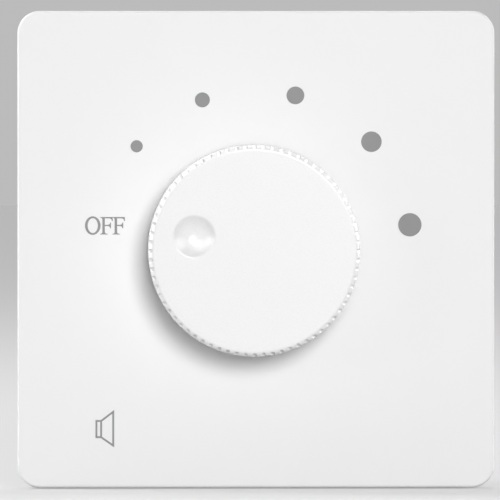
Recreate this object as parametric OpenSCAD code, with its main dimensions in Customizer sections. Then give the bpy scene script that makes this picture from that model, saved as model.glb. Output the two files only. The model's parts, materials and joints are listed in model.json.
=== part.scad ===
// Wall volume control for loudspeakers: a square snap-on cover, a fluted knob, a rotary switch
// with an OFF position and five steps, and a tapped transformer with screw terminals behind it.
// Everything is drawn as seen from the front (x right, y up, z out of the wall) and then stood up,
// so the wall is the plane y = 0 and the face looks along -Y.

/* [Cover plate] */
// Width of the cover
plate_w = 86; // [82:0.5:100]
// Height of the cover
plate_h = 86; // [82:0.5:100]
// Depth of the cover, from the wall to its face
plate_d = 8; // [7.5:0.5:12]
// Corner radius of the cover
plate_r = 4; // [3:0.5:8]
// Rounding of the front edge
plate_edge_r = 0.5; // [0.3:0.1:1.5]
// Thickness of the face and the side walls
plate_t = 2; // [1.5:0.1:2.4]
// Width of a snap hook
hook_w = 8; // [5:0.5:12]
// Thickness of a snap hook
hook_t = 1.4; // [1:0.1:2]
// Distance of the snap hooks from the middle of their side
hook_x = 24; // [16:1:28]
// Height of the barb on a snap hook
barb_h = 1; // [0.6:0.1:1.2]
// Width of the notch for a screwdriver in the lower rim
pry_w = 8; // [5:0.5:12]
// Height of the notch for a screwdriver
pry_h = 1.2; // [0.6:0.1:2]

/* [Scale] */
// Radius of the ring of printed dots
scale_r = 28; // [25:0.2:34]
// Height of the middle of that ring above the middle of the cover
scale_up = 0.7; // [-1:0.1:2]
// Diameter of the smallest dot
dot_first_d = 2.2; // [1.5:0.1:3]
// Diameter of the largest dot
dot_last_d = 4.2; // [3:0.1:5]
// Thickness of the printed ink
ink_t = 0.1; // [0.05:0.01:0.2]

/* [Knob] */
// Sideways place of the turning axis, from the middle of the cover
axis_x = -0.5; // [-2:0.1:2]
// Diameter of the smooth skirt of the knob
knob_d = 38; // [34:0.5:42]
// Height of the knob
knob_h = 13.4; // [11:0.2:20]
// How far the skirt stands out past the fluted rim
skirt_lip = 0.1; // [0.05:0.05:0.6]
// Rounding of the front edge of the knob
knob_edge_r = 0.9; // [0.2:0.1:1.2]
// Smooth band between the skirt and the flutes
flute_foot = 0.3; // [0.2:0.1:1]
// Number of flutes
flute_count = 72; // [36:1:90]
// Length of the flutes
flute_len = 1.8; // [1.5:0.1:8]
// Radius of a flute
flute_r = 0.4; // [0.36:0.01:0.5]
// Depth of a flute
flute_depth = 0.6; // [0.3:0.05:0.65]
// Thickness of the knob's wall behind the flutes
skirt_t = 1.6; // [1.2:0.1:2.5]
// Thickness of the knob's face
knob_face_t = 2.6; // [2.4:0.1:4]
// Diameter of the hub
hub_d = 10.4; // [9.6:0.2:13]
// How far the hub starts above the foot of the knob
hub_inset = 1.5; // [1:0.1:3]
// Width of the slit in the hub
slit_w = 0.8; // [0.5:0.1:1.2]
// Length of the slit in the hub
slit_len = 5; // [4:0.5:6]
// Number of ribs inside the knob
rib_count = 12; // [6:1:16]
// Thickness of a rib
rib_t = 1.2; // [0.8:0.1:1.6]
// Depth of a rib below the knob's face
rib_h = 6; // [3:0.5:8]
// Distance of the finger dimple from the axis
dimple_dist = 11.1; // [9:0.1:12]
// Diameter of the finger dimple inside its lip
dimple_d = 7; // [5:0.1:8]
// Depth of the finger dimple
dimple_depth = 1.4; // [0.6:0.1:1.6]
// Width of the rounded lip of the dimple
dimple_lip = 0.4; // [0.2:0.05:0.6]
// Thickness of the clip on the hub
clip_wire_t = 0.8; // [0.5:0.1:1]
// Width of the clip on the hub
clip_wire_w = 2; // [1.2:0.1:2.5]

/* [Frame] */
// Thickness of the frame's web
frame_t = 3; // [2.5:0.1:3.4]
// Thickness of the frame's rim
frame_rim_t = 1.5; // [1.2:0.1:2]
// Depth of the recess behind the web
recess_d = 1; // [0.5:0.1:1.2]
// Pitch of the wall box screws
screw_pitch = 60.3; // [58:0.1:62]
// Width of a screw slot
slot_w = 4.4; // [4.2:0.1:5]
// Length of a screw slot
slot_len = 8; // [6:0.5:9]
// Diameter of the posts that carry the board
post_d = 6.4; // [5:0.2:7]

/* [Switch] */
// Angle of the OFF mark, from the right-hand side
off_angle = 166.5; // [160:0.5:175]
// Turn from OFF to the loudest step
sweep = 157.5; // [120:0.5:170]
// Number of steps after OFF
steps = 5; // [3:1:5]
// Diameter of the shaft
shaft_d = 6; // [5:0.1:6.4]
// Depth of the flat on the shaft
flat_depth = 1.5; // [1:0.1:2]
// Diameter of the bushing
bushing_d = 9; // [8.6:0.1:10]
// Length of the bushing in front of its plate
bushing_len = 6.5; // [6:0.1:7.5]
// Width of the nut across its flats
nut_af = 12; // [11:0.5:14]
// Thickness of the nut
nut_t = 2; // [1.5:0.1:2.5]
// Diameter of the washer
washer_d = 14; // [13:0.5:17]
// Thickness of the washer
washer_t = 0.6; // [0.4:0.1:0.8]
// Diameter of the switch body
switch_d = 27; // [26:0.5:30]
// Wall of the switch body
switch_wall = 2.5; // [2:0.1:3]
// Thickness of the metal front plate
front_t = 1.5; // [1:0.1:2]
// Depth of the switch body behind its front plate
body_h = 8.5; // [8.2:0.1:10]
// Thickness of the rear wafer
base_t = 2; // [1.5:0.1:3]
// Distance between the two rivets
ear_pitch = 31; // [30:0.5:34]
// Diameter of an ear
ear_d = 5.6; // [5:0.2:7]
// Diameter of a rivet
rivet_d = 2; // [1.5:0.1:2.5]
// Space between the detent wheel and the wall of the switch
leaf_room = 4; // [3.6:0.1:4.5]
// Thickness of the detent wheel
wheel_t = 2.5; // [2:0.1:3]
// Radius of the nub on the detent spring
nub_r = 1; // [0.8:0.05:1.2]
// Thickness of the detent spring
leaf_t = 0.3; // [0.2:0.05:0.5]
// Width of the detent spring
leaf_w = 2; // [1.5:0.1:2.4]
// Diameter of the rotor
rotor_d = 16.4; // [15.6:0.2:17]
// Thickness of the rotor
rotor_t = 3; // [2.5:0.1:3.2]
// Half the angle that the stop lug takes up
lug_half = 10; // [6:1:14]
// Angle that a stop takes up
stop_angle = 8; // [5:1:12]
// Diameter of the drive section of the shaft
drive_d = 5; // [4.6:0.1:5]
// Depth of the flat on the drive section
drive_flat = 0.8; // [0.5:0.1:1]
// Diameter of the rear journal
journal_d = 3; // [2.5:0.1:3.4]
// Diameter of the circle of tap contacts
tap_circle_d = 15; // [14:0.2:16]
// Diameter of a contact head
tap_head_d = 2.2; // [1.8:0.1:2.6]
// Height of a contact head
tap_head_h = 0.5; // [0.3:0.1:0.6]
// Diameter of a contact pin
tap_pin_d = 1.2; // [0.8:0.1:1.4]
// Mean diameter of the ring contact
ring_d = 7.8; // [7.4:0.1:8.4]
// Width of the ring contact
ring_w = 1.4; // [1:0.1:1.8]
// Thickness of the wiper
wiper_t = 0.4; // [0.3:0.05:0.6]
// Width of the wiper
wiper_w = 2.4; // [2:0.1:3]
// Diameter of a contact tip on the wiper
wiper_tip_d = 1.1; // [0.8:0.1:1.4]
// Thickness of the shaft clip
eclip_t = 0.6; // [0.4:0.1:0.8]
// Diameter of the shaft clip
eclip_d = 6; // [5:0.2:6.4]

/* [Board] */
// Width of the board
board_w = 47; // [45:0.5:48]
// Height of the board
board_h = 60; // [57:0.5:64]
// Thickness of the board
board_t = 1.6; // [1.2:0.1:2]
// Space between the switch and the board
board_gap = 3; // [2.8:0.1:6]
// Distance of the posts from the edges of the board
post_inset = 4; // [3.5:0.1:5]
// Length of a solder tail behind the board
tail = 0.8; // [0.5:0.1:1.2]
// Diameter of a board screw
screw_d = 2.5; // [2:0.1:3]
// Length of a board screw under its head
screw_len = 8; // [6:0.5:10]
// Diameter of the head of a board screw
screw_head_d = 4.6; // [4:0.2:5.4]
// Height of the head of a board screw
screw_head_h = 1.6; // [1.2:0.1:2.2]

/* [Transformer] */
// Width of the laminations
core_w = 30; // [28:0.5:32]
// Depth of the unit behind the wall
in_wall_d = 42; // [40:0.5:45]
// Thickness of the stack
core_stack = 12.5; // [11:0.5:14]
// Width of an outer leg and of a yoke
core_leg = 5; // [4.6:0.1:5.4]
// Space between the core and the board
core_lift = 0.6; // [0.4:0.1:1]
// Wall of the bobbin
bobbin_t = 0.8; // [0.6:0.1:1]
// Thickness of the bobbin's flanges
flange_t = 1; // [0.8:0.1:1.4]
// How far the winding stays inside the flanges
winding_inset = 0.5; // [0.3:0.1:0.8]
// Thickness of the steel clamp
clamp_t = 0.8; // [0.6:0.1:1.2]
// Width of the steel clamp
clamp_w = 9; // [7:0.5:11]
// Width of a clamp tab
tab_w = 4; // [3:0.5:6]
// Pitch of the transformer pins
trafo_pitch = 5; // [4:0.5:5.5]
// Number of pins in a row
trafo_row = 4; // [3:1:4]
// Diameter of a transformer pin
trafo_pin_d = 0.8; // [0.6:0.1:1]
// How deep a pin sits in the bobbin
trafo_pin_set = 2.5; // [1.5:0.1:4]

/* [Terminals] */
// Number of terminals
way_count = 4; // [3:1:5]
// Pitch of the terminals
way_pitch = 5.08; // [4.9:0.02:5.6]
// Depth of the terminal block from its mouth to its back
block_d = 8.4; // [8.2:0.1:10]
// Height of the terminal block above the board
block_h = 10.5; // [10:0.1:12]
// Wall in front of a clamp
block_wall = 1.4; // [1:0.1:1.8]
// Width of a brass clamp
cage_w = 3.8; // [3.6:0.1:4]
// Length of a brass clamp along the wire
cage_len = 6; // [5:0.1:6.4]
// Height of a brass clamp
cage_h = 6; // [5.6:0.1:6.2]
// Diameter of the wire hole
wire_d = 2.8; // [2.4:0.1:3]
// Depth of the wire hole's axis in the clamp
wire_z = 2.2; // [2:0.1:2.4]
// Space between a clamp and the board
cage_lift = 1; // [0.6:0.1:1.4]
// Diameter of a terminal screw
set_d = 2.5; // [2:0.1:2.6]
// Diameter of the head of a terminal screw
set_head_d = 3.4; // [3:0.1:3.6]
// Height of the head of a terminal screw
set_head_h = 1.6; // [1.2:0.1:2]
// Diameter of a terminal pin
way_pin_d = 1; // [0.8:0.1:1.2]

/* [Fits] */
// Space between the rim of the cover and the wall
rim_gap = 0.2; // [0.1:0.05:0.5]
// Space between the cover and the frame
cover_gap = 0.5; // [0.3:0.05:0.8]
// Space round a snap hook
hook_gap = 0.3; // [0.2:0.05:0.4]
// Space between the knob and the cover
knob_gap = 0.6; // [0.4:0.1:1.5]
// Running clearance of the shaft in its bearings, on the radius
run_fit = 0.05; // [0.02:0.01:0.09]
// Clearance of pieces that are pushed or soldered into holes
push_fit = 0.05; // [0.02:0.01:0.09]
// Clearance round pins and screws in the board
hole_fit = 0.1; // [0.05:0.01:0.2]
// Clearance between the detent wheel and its spring
leaf_gap = 0.4; // [0.3:0.05:0.6]
// Clearance between the nub and its notch
nub_gap = 0.1; // [0.05:0.01:0.2]
// Clearance between the wiper and the contacts
wipe_gap = 0.1; // [0.05:0.01:0.2]
// Clearance between moving and fixed pieces in the switch
swing_gap = 0.5; // [0.3:0.05:0.6]
// Spare turn at each stop, in degrees
stop_gap = 1; // [0.5:0.1:2]

/* [Hidden] */
$fn = 64;

// Sinks one shape into another so that they join
join = 0.5;
// Cuts run this far past a face
over = 1;
// Flat steps in a quarter round
arc_steps = 8;
// How far each printed dot sits before its step, in degrees
print_shift = [5.2, 6.7, 3.3, 1.5, -1.3];
// Depth of the seat for the clip on the hub, and its place above the end of the hub
clip_seat = 0.3;
clip_lift = 0.6;
// Angle that the clip on the hub goes round
clip_span = 300;
// How far a barb reaches into the rim of the frame
barb_reach = 0.9;
// Margin of the recess round the board
recess_margin = 1;
// Bevel on the ends of the shaft and the bushing
end_bevel = 0.4;
// How deep the spring sits in its seats, and the wall of a seat
leaf_grip = 1.2;
seat_wall = 0.8;
// Depth of the groove for the shaft clip
eclip_groove = 0.4;
// Thickness of the heads that hold the wiper
stake_head_h = 0.3;
// Clearance round the legs of the core
leg_gap = 0.15;
// Height of the transformer above the level of the axis
trafo_lift = 1;
// Corner radius of the winding
winding_r = 2;
// Space between a terminal screw and the wire hole, and under its head
set_gap = 0.2;
set_head_gap = 0.4;
// Spare width of the terminal block, its bevels, and the grooves between its ways
block_spare = 0.4;
block_bevel = 1.2;
way_groove = 0.6;
// Number of teeth on the washer, and the size of a gap between them
tooth_count = 12;
tooth_gap = 0.8;
tooth_depth = 1.1;

// Levels of the cover and the knob, measured out of the wall
face_inner_z = plate_d - plate_t;
knob_foot_z = plate_d + knob_gap;
knob_top_z = knob_foot_z + knob_h;
skirt_top_z = knob_top_z - flute_len - flute_foot;
hub_foot_z = knob_foot_z + hub_inset;
hollow_top_z = knob_top_z - knob_face_t;

// Levels of the switch, from its seat on the frame to the board
seat_z = recess_d;
front_back_z = seat_z - front_t;
body_back_z = front_back_z - body_h;
base_back_z = body_back_z - base_t;
wheel_front_z = front_back_z - swing_gap;
wheel_back_z = wheel_front_z - wheel_t;
rotor_back_z = wheel_back_z - rotor_t;
tap_top_z = body_back_z + tap_head_h;
eclip_front_z = base_back_z - swing_gap / 2;
eclip_back_z = eclip_front_z - eclip_t;
shaft_back_z = eclip_back_z - swing_gap;
board_front_z = base_back_z - board_gap;
board_back_z = board_front_z - board_t;
tail_back_z = board_back_z - tail;
tail_front_z = board_front_z + tail;

// Radii of the knob
knob_r = knob_d / 2;
flute_top_r = knob_r - skirt_lip;
skirt_r = flute_top_r - flute_depth - skirt_t;
hub_r = hub_d / 2;
clip_low_z = hub_foot_z + clip_lift;
clip_r = hub_r - clip_seat + push_fit;
lip_drop = 0.4 * dimple_lip;

// Sizes of the frame
frame_w = plate_w - 2 * (plate_t + cover_gap);
frame_h = plate_h - 2 * (plate_t + cover_gap);
frame_r = max(plate_r - plate_t - cover_gap, 0.5);
frame_top_z = face_inner_z - cover_gap;
recess_w = board_w + 2 * recess_margin;
recess_h = board_h + 2 * recess_margin;
post_x = board_w / 2 - post_inset;
post_y = board_h / 2 - post_inset;
hook_y = frame_h / 2 - frame_rim_t - hook_gap;

// Sizes of the switch
nut_corner_r = nut_af / 2 / cos(30);
plate_hole_r = max(nut_corner_r, washer_d / 2) + cover_gap;
shaft_r = shaft_d / 2;
cavity_r = switch_d / 2 - switch_wall;
wheel_r = cavity_r - leaf_room;
leaf_y = wheel_r + leaf_gap;
leaf_mid_z = (wheel_front_z + wheel_back_z) / 2;
leaf_half = sqrt(pow(cavity_r - swing_gap, 2) - pow(leaf_y + leaf_t, 2));
rotor_r = rotor_d / 2;
lug_r = cavity_r - swing_gap;
stop_r = rotor_r + swing_gap;
stop_back_z = rotor_back_z + swing_gap;
stake_r = wiper_w / 8;
stake_head_r = wiper_w / 5;
groove_r = journal_d / 2 - eclip_groove;
tap_r = tap_circle_d / 2;
wiper_angle = off_angle + 180;
step_angle = sweep / steps;
rivet_head_r = 0.95 * rivet_d;
rivet_head_h = 0.45 * rivet_d;

// Sizes of the transformer, whose centre leg stands square to the board
window_w = core_w / 2 - 2 * core_leg;
core_front_z = board_back_z - core_lift;
core_back_z = clamp_t - in_wall_d;
window_front_z = core_front_z - core_leg;
window_back_z = core_back_z + core_leg;
tube_w = 2 * core_leg + 2 * leg_gap;
tube_h = core_stack + 2 * leg_gap;
flange_x = core_leg + window_w - 2 * leg_gap;
flange_y = core_stack / 2 + window_w - 2 * leg_gap;
rail_in = core_stack / 2 + swing_gap;
trafo_y = flange_y + trafo_lift;
rail_mid = (rail_in + flange_y) / 2;
tab_x = core_w / 2 + leg_gap + clamp_t / 2;

// Sizes of the terminal block, whose mouth is flush with the lower edge of the board
block_w = way_count * way_pitch + block_spare;
mouth_y = -board_h / 2;
cage_y = mouth_y + block_wall;
cage_front_z = board_back_z - cage_lift;
cage_back_z = cage_front_z - cage_h;
block_back_z = board_back_z - block_h;
wire_axis_z = cage_front_z - wire_z;
set_tip_z = wire_axis_z - wire_d / 2 - set_gap;
set_head_z = cage_back_z - set_head_gap;

// Stands the front view up against the wall
module upright() rotate([90, 0, 0]) children();

// Moves a shape onto the turning axis
module on_axis() translate([axis_x, 0, 0]) children();

// Extrudes a flat outline between two levels
module between(low, high) translate([0, 0, low]) linear_extrude(high - low) children();

// A round bar between two levels
module bar(r, low, high) translate([0, 0, low]) cylinder(r = r, h = high - low);

// A box centred in x and y between two levels
module block(w, h, low, high) between(low, high) square([w, h], center = true);

// Points of an arc from one angle to another
function arc(centre, r, from, to) =
    [for (i = [0:arc_steps]) let (a = from + (to - from) * i / arc_steps) centre + r * [cos(a), sin(a)]];

// A rectangle with rounded corners
module rounded_rect(w, h, r) {
    x = w / 2 - r;
    y = h / 2 - r;
    polygon(concat(arc([x, y], r, 0, 90), arc([-x, y], r, 90, 180),
                   arc([-x, -y], r, 180, 270), arc([x, -y], r, 270, 360)));
}

// Places a child at each of the four corners of a rectangle
module corners(x, y) for (sx = [-1, 1], sy = [-1, 1]) translate([sx * x, sy * y, 0]) children();

// A shaft section with a flat, grown by a clearance
module flatted(r, cut, fit) intersection() {
    circle(r + fit);
    translate([-r - over, -r - over]) square([2 * r + over - cut + fit, 2 * (r + over)]);
}

// A ring sector between two radii and two levels, centred on an angle
module sector(r_in, r_out, low, high, middle, width)
    rotate(middle - width / 2) rotate_extrude(angle = width)
        translate([r_in, low]) square([r_out - r_in, high - low]);

// The cover's solid block: true round corners and a rounded front edge
module cover_block() {
    profile = concat([[0, rim_gap], [plate_r, rim_gap]],
                     arc([plate_r - plate_edge_r, plate_d - plate_edge_r], plate_edge_r, 0, 90),
                     [[0, plate_d]]);
    x = plate_w / 2 - plate_r;
    y = plate_h / 2 - plate_r;
    block(2 * x, 2 * y, rim_gap, plate_d);
    for (turn = [0, 180]) rotate(turn) {
        translate([x, 0, 0]) rotate([90, 0, 0]) linear_extrude(2 * y, center = true) polygon(profile);
        translate([0, y, 0]) rotate([90, 0, 90]) linear_extrude(2 * x, center = true) polygon(profile);
        translate([x, y, 0]) rotate_extrude(angle = 90) polygon(profile);
        translate([-x, y, 0]) rotate(90) rotate_extrude(angle = 90) polygon(profile);
    }
}

// A snap hook on the upper side: a leg from the face and a barb that points outwards
module snap_hook() {
    low = frame_t + hook_gap;
    translate([-hook_w / 2, hook_y - hook_t, low]) cube([hook_w, hook_t, face_inner_z + join - low]);
    translate([-hook_w / 2, hook_y - join, low]) cube([hook_w, join + barb_reach, barb_h]);
}

module front_plate() color("white") upright() {
    difference() {
        cover_block();
        between(0, face_inner_z)
            rounded_rect(plate_w - 2 * plate_t, plate_h - 2 * plate_t, max(plate_r - plate_t, 0.5));
        on_axis() bar(plate_hole_r, face_inner_z - over, plate_d + over);
        translate([-pry_w / 2, -plate_h / 2 - over, rim_gap - over])
            cube([pry_w, plate_t + 2 * over, pry_h + over]);
    }
    for (side = [0, 180], x = [-hook_x, hook_x]) rotate(side) translate([x, 0, 0]) snap_hook();
}

module scale_dots() color([0.6, 0.6, 0.6]) upright() {
    growth = (dot_last_d - dot_first_d) / (steps - 1);
    translate([0, scale_up, 0]) for (i = [0:steps - 1])
        rotate(off_angle - step_angle * (i + 1) + print_shift[i % len(print_shift)])
            translate([scale_r, 0, 0]) bar((dot_first_d + growth * i) / 2, plate_d, plate_d + ink_t);
}

// The turned outside of the knob, with its skirt and rounded front edge
module knob_blank() rotate_extrude() polygon(concat(
    [[0, knob_foot_z], [knob_r, knob_foot_z], [knob_r, skirt_top_z - skirt_lip], [flute_top_r, skirt_top_z]],
    arc([flute_top_r - knob_edge_r, knob_top_z - knob_edge_r], knob_edge_r, 0, 90),
    [[0, knob_top_z]]));

// The finger dimple: a round hollow whose edge rolls over into the face
module dimple() {
    a = dimple_d / 2;
    bowl_r = (a * a + dimple_depth * dimple_depth) / (2 * dimple_depth);
    open = asin(a / bowl_r);
    rotate_extrude() polygon(concat(
        arc([0, bowl_r - dimple_depth], bowl_r, -90, open - 90),
        [[a + dimple_lip / 2, 0.75 * lip_drop], [a + dimple_lip, lip_drop]],
        [[a + dimple_lip, over], [0, over]]));
}

module knob() color("white") upright() on_axis() difference() {
    union() {
        difference() {
            knob_blank();
            bar(skirt_r, knob_foot_z - over, hollow_top_z);
        }
        bar(hub_r, hub_foot_z, hollow_top_z + join);
        for (i = [0:rib_count - 1]) rotate(360 / rib_count * (i + 0.5))
            translate([hub_r - join, -rib_t / 2, hollow_top_z - rib_h])
                cube([skirt_r - hub_r + 2 * join, rib_t, rib_h + join]);
    }
    for (i = [0:flute_count - 1]) rotate(360 / flute_count * i)
        translate([flute_top_r - flute_depth + flute_r, 0, 0])
            bar(flute_r, knob_top_z - flute_len, knob_top_z + over);
    rotate(off_angle) between(hub_foot_z - over, hollow_top_z) flatted(shaft_r, flat_depth, push_fit);
    rotate(off_angle) block(slit_w, hub_d + over, hub_foot_z - over, hub_foot_z + slit_len);
    difference() {
        bar(hub_r + over, clip_low_z, clip_low_z + clip_wire_w + 2 * push_fit);
        bar(hub_r - clip_seat, clip_low_z - over, clip_low_z + clip_wire_w + over);
    }
    rotate(off_angle) translate([dimple_dist, 0, knob_top_z - lip_drop]) dimple();
}

module knob_clip() color("lightsteelblue") upright() on_axis()
    sector(clip_r, clip_r + clip_wire_t, clip_low_z + push_fit, clip_low_z + push_fit + clip_wire_w,
           off_angle, clip_span);

// A slot for a wall box screw, true round at both ends
module screw_slot() {
    half = (slot_len - slot_w) / 2;
    for (x = [-half, half]) translate([x, 0, 0]) bar(slot_w / 2, -over, frame_t + over);
    block(2 * half, slot_w, -over, frame_t + over);
}

module mounting_frame() color("gainsboro") upright() difference() {
    union() {
        between(0, frame_t) rounded_rect(frame_w, frame_h, frame_r);
        difference() {
            between(frame_t - join, frame_top_z) rounded_rect(frame_w, frame_h, frame_r);
            block(frame_w - 2 * frame_rim_t, frame_h - 2 * frame_rim_t, frame_t - over, frame_top_z + over);
        }
        corners(post_x, post_y) bar(post_d / 2, board_front_z, recess_d + join);
    }
    difference() {
        block(recess_w, recess_h, -over, recess_d);
        corners(post_x, post_y) bar(post_d / 2, -2 * over, recess_d + over);
    }
    for (x = [-1, 1]) translate([x * screw_pitch / 2, 0, 0]) screw_slot();
    corners(post_x, post_y)
        bar(screw_d / 2 + push_fit, board_front_z - over, board_back_z + screw_len + over);
    on_axis() bar(bushing_d / 2 + hole_fit, -over, frame_t + over);
    on_axis() for (x = [-1, 1]) translate([x * ear_pitch / 2, 0, 0])
        bar(rivet_head_r + hole_fit, -over, frame_t + over);
    for (side = [0, 180], x = [-hook_x, hook_x]) rotate(side)
        translate([x - hook_w / 2 - hook_gap, frame_h / 2 - frame_rim_t - over, frame_t])
            cube([hook_w + 2 * hook_gap, frame_rim_t + 2 * over, barb_h + 2 * hook_gap]);
}

module lock_washer() color("silver") upright() on_axis() difference() {
    bar(washer_d / 2, frame_t, frame_t + washer_t);
    bar(bushing_d / 2 + hole_fit, frame_t - over, frame_t + washer_t + over);
    for (i = [0:tooth_count - 1]) rotate(360 / tooth_count * i)
        translate([washer_d / 2 - tooth_depth, -tooth_gap / 2, frame_t - over])
            cube([tooth_depth + over, tooth_gap, washer_t + 2 * over]);
}

module bushing_nut() color("silver") upright() on_axis() {
    low = frame_t + washer_t;
    bevel = nut_corner_r - nut_af / 2;
    difference() {
        intersection() {
            translate([0, 0, low]) cylinder(r = nut_corner_r, h = nut_t, $fn = 6);
            rotate_extrude() polygon([[0, low], [nut_corner_r, low], [nut_corner_r, low + nut_t - bevel / 2],
                                      [nut_af / 2, low + nut_t], [0, low + nut_t]]);
        }
        bar(bushing_d / 2 + push_fit, low - over, low + nut_t + over);
    }
}

// Outline of the switch with its two rivet ears
module switch_outline() {
    circle(switch_d / 2);
    square([ear_pitch, 0.8 * ear_d], center = true);
    for (x = [-1, 1]) translate([x * ear_pitch / 2, 0]) circle(ear_d / 2);
}

// Holes for the two rivets
module rivet_holes(low, high)
    for (x = [-1, 1]) translate([x * ear_pitch / 2, 0, 0]) bar(rivet_d / 2 + push_fit, low, high);

module switch_bushing() color("silver") upright() on_axis() {
    tip_z = seat_z + bushing_len;
    r = bushing_d / 2;
    difference() {
        union() {
            between(front_back_z, seat_z) switch_outline();
            rotate_extrude() polygon([[0, seat_z - join], [r, seat_z - join], [r, tip_z - end_bevel],
                                      [r - end_bevel, tip_z], [0, tip_z]]);
        }
        bar(shaft_r + run_fit, front_back_z - over, tip_z + over);
        rivet_holes(front_back_z - over, seat_z + over);
    }
}

// A seat that holds one end of the detent spring against the wall of the switch
module spring_seat() {
    low = leaf_mid_z - leaf_w / 2 - push_fit;
    inner_x = leaf_half - leaf_grip;
    difference() {
        intersection() {
            bar(cavity_r + join, low, front_back_z);
            translate([inner_x, leaf_y - seat_wall, low]) cube([cavity_r, cavity_r, front_back_z - low]);
        }
        translate([inner_x - over, leaf_y - push_fit, low - over])
            cube([leaf_grip + over + push_fit, leaf_t + 2 * push_fit, front_back_z - low + 2 * over]);
    }
}

module switch_housing() color("dimgray") upright() on_axis() {
    stop_from_start = lug_half + stop_gap + stop_angle / 2;
    difference() {
        between(body_back_z, front_back_z) switch_outline();
        bar(cavity_r, body_back_z - over, front_back_z + over);
        rivet_holes(body_back_z - over, front_back_z + over);
    }
    spring_seat();
    mirror([1, 0, 0]) spring_seat();
    for (middle = [off_angle + stop_from_start, off_angle - sweep - stop_from_start])
        sector(stop_r, cavity_r + join, stop_back_z, wheel_back_z, middle, stop_angle);
}

// Places a child at each tap of the switch
module at_taps()
    for (i = [0:steps]) rotate(wiper_angle - step_angle * i) translate([tap_r, 0, 0]) children();

// Places a child at the pin of the ring contact
module at_common() translate([0, -ring_d / 2, 0]) children();

module switch_base() color("saddlebrown") upright() on_axis() difference() {
    between(base_back_z, body_back_z) switch_outline();
    bar(journal_d / 2 + run_fit, base_back_z - over, body_back_z + over);
    at_taps() bar(tap_pin_d / 2 + push_fit, base_back_z - over, body_back_z + over);
    at_common() bar(tap_pin_d / 2 + push_fit, base_back_z - over, body_back_z + over);
    rivet_holes(base_back_z - over, body_back_z + over);
}

module switch_rivets() color("silver") upright() on_axis()
    for (x = [-1, 1]) translate([x * ear_pitch / 2, 0, 0]) {
        bar(rivet_d / 2, base_back_z - join, seat_z + join);
        bar(rivet_head_r, seat_z, seat_z + rivet_head_h);
        bar(rivet_head_r, base_back_z - rivet_head_h, base_back_z);
    }

module switch_shaft() color("silver") upright() on_axis() {
    tip_z = hollow_top_z - swing_gap;
    flat_z = seat_z + bushing_len + swing_gap;
    drive_r = drive_d / 2;
    rotate(off_angle) difference() {
        rotate_extrude() polygon([
            [0, shaft_back_z], [journal_d / 2, shaft_back_z],
            [journal_d / 2, eclip_back_z - push_fit], [groove_r, eclip_back_z - push_fit],
            [groove_r, eclip_front_z + push_fit], [journal_d / 2, eclip_front_z + push_fit],
            [journal_d / 2, rotor_back_z], [drive_r, rotor_back_z], [drive_r, wheel_front_z],
            [shaft_r, wheel_front_z], [shaft_r, tip_z - end_bevel], [shaft_r - end_bevel, tip_z],
            [0, tip_z]]);
        translate([shaft_r - flat_depth, -shaft_r, flat_z]) cube([shaft_d, shaft_d, tip_z - flat_z + over]);
        translate([drive_r - drive_flat, -drive_r, rotor_back_z])
            cube([drive_d, drive_d, wheel_front_z - rotor_back_z]);
    }
}

module shaft_clip() color("silver") upright() on_axis() {
    inner_r = groove_r + push_fit;
    difference() {
        bar(eclip_d / 2, eclip_back_z, eclip_front_z);
        bar(inner_r, eclip_back_z - over, eclip_front_z + over);
        translate([0, -inner_r, eclip_back_z - over]) cube([eclip_d, 2 * inner_r, eclip_t + 2 * over]);
    }
}

module detent_wheel() color("ivory") upright() on_axis() difference() {
    bar(wheel_r, wheel_back_z, wheel_front_z);
    rotate(off_angle) between(wheel_back_z - over, wheel_front_z + over)
        flatted(drive_d / 2, drive_flat, push_fit);
    for (i = [0:steps]) rotate(90 + step_angle * i) translate([leaf_y, 0, 0])
        bar(nub_r + nub_gap, wheel_back_z - over, wheel_front_z + over);
}

module detent_spring() color("darkkhaki") upright() on_axis() {
    low = leaf_mid_z - leaf_w / 2;
    translate([-leaf_half, leaf_y, low]) cube([2 * leaf_half, leaf_t, leaf_w]);
    difference() {
        translate([0, leaf_y, 0]) bar(nub_r, low, low + leaf_w);
        translate([-over - nub_r, leaf_y + leaf_t / 2, low - over])
            cube([2 * (nub_r + over), nub_r + over, leaf_w + 2 * over]);
    }
}

// Places a child at each stake that holds the wiper
module at_stakes()
    for (side = [-1, 1]) translate([(ring_d / 2 + tap_r) / 2, side * wiper_w / 4, 0]) children();

module rotor() color("dimgray") upright() on_axis() {
    difference() {
        union() {
            bar(rotor_r, rotor_back_z, wheel_back_z);
            sector(rotor_r - join, lug_r, rotor_back_z + swing_gap, wheel_back_z - swing_gap,
                   off_angle, 2 * lug_half);
        }
        rotate(off_angle) between(rotor_back_z - over, wheel_back_z + over)
            flatted(drive_d / 2, drive_flat, push_fit);
    }
    rotate(wiper_angle) at_stakes() {
        bar(stake_r, rotor_back_z - wiper_t - stake_head_h / 2, rotor_back_z + join);
        bar(stake_head_r, rotor_back_z - wiper_t - stake_head_h, rotor_back_z - wiper_t);
    }
}

module wiper() color("goldenrod") upright() on_axis() rotate(wiper_angle) {
    low = rotor_back_z - wiper_t;
    inner_r = ring_d / 2 - wiper_w / 2;
    difference() {
        translate([inner_r, -wiper_w / 2, low]) cube([tap_r - inner_r + wiper_w / 2, wiper_w, wiper_t]);
        at_stakes() bar(stake_r + push_fit, low - over, rotor_back_z + over);
    }
    for (r = [ring_d / 2, tap_r]) translate([r, 0, 0])
        bar(wiper_tip_d / 2, tap_top_z + wipe_gap, low + wiper_t / 2);
}

module contact_pins() color("gold") upright() on_axis() at_taps() {
    bar(tap_head_d / 2, body_back_z, tap_top_z);
    bar(tap_pin_d / 2, tail_back_z, body_back_z + tap_head_h / 2);
}

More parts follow.
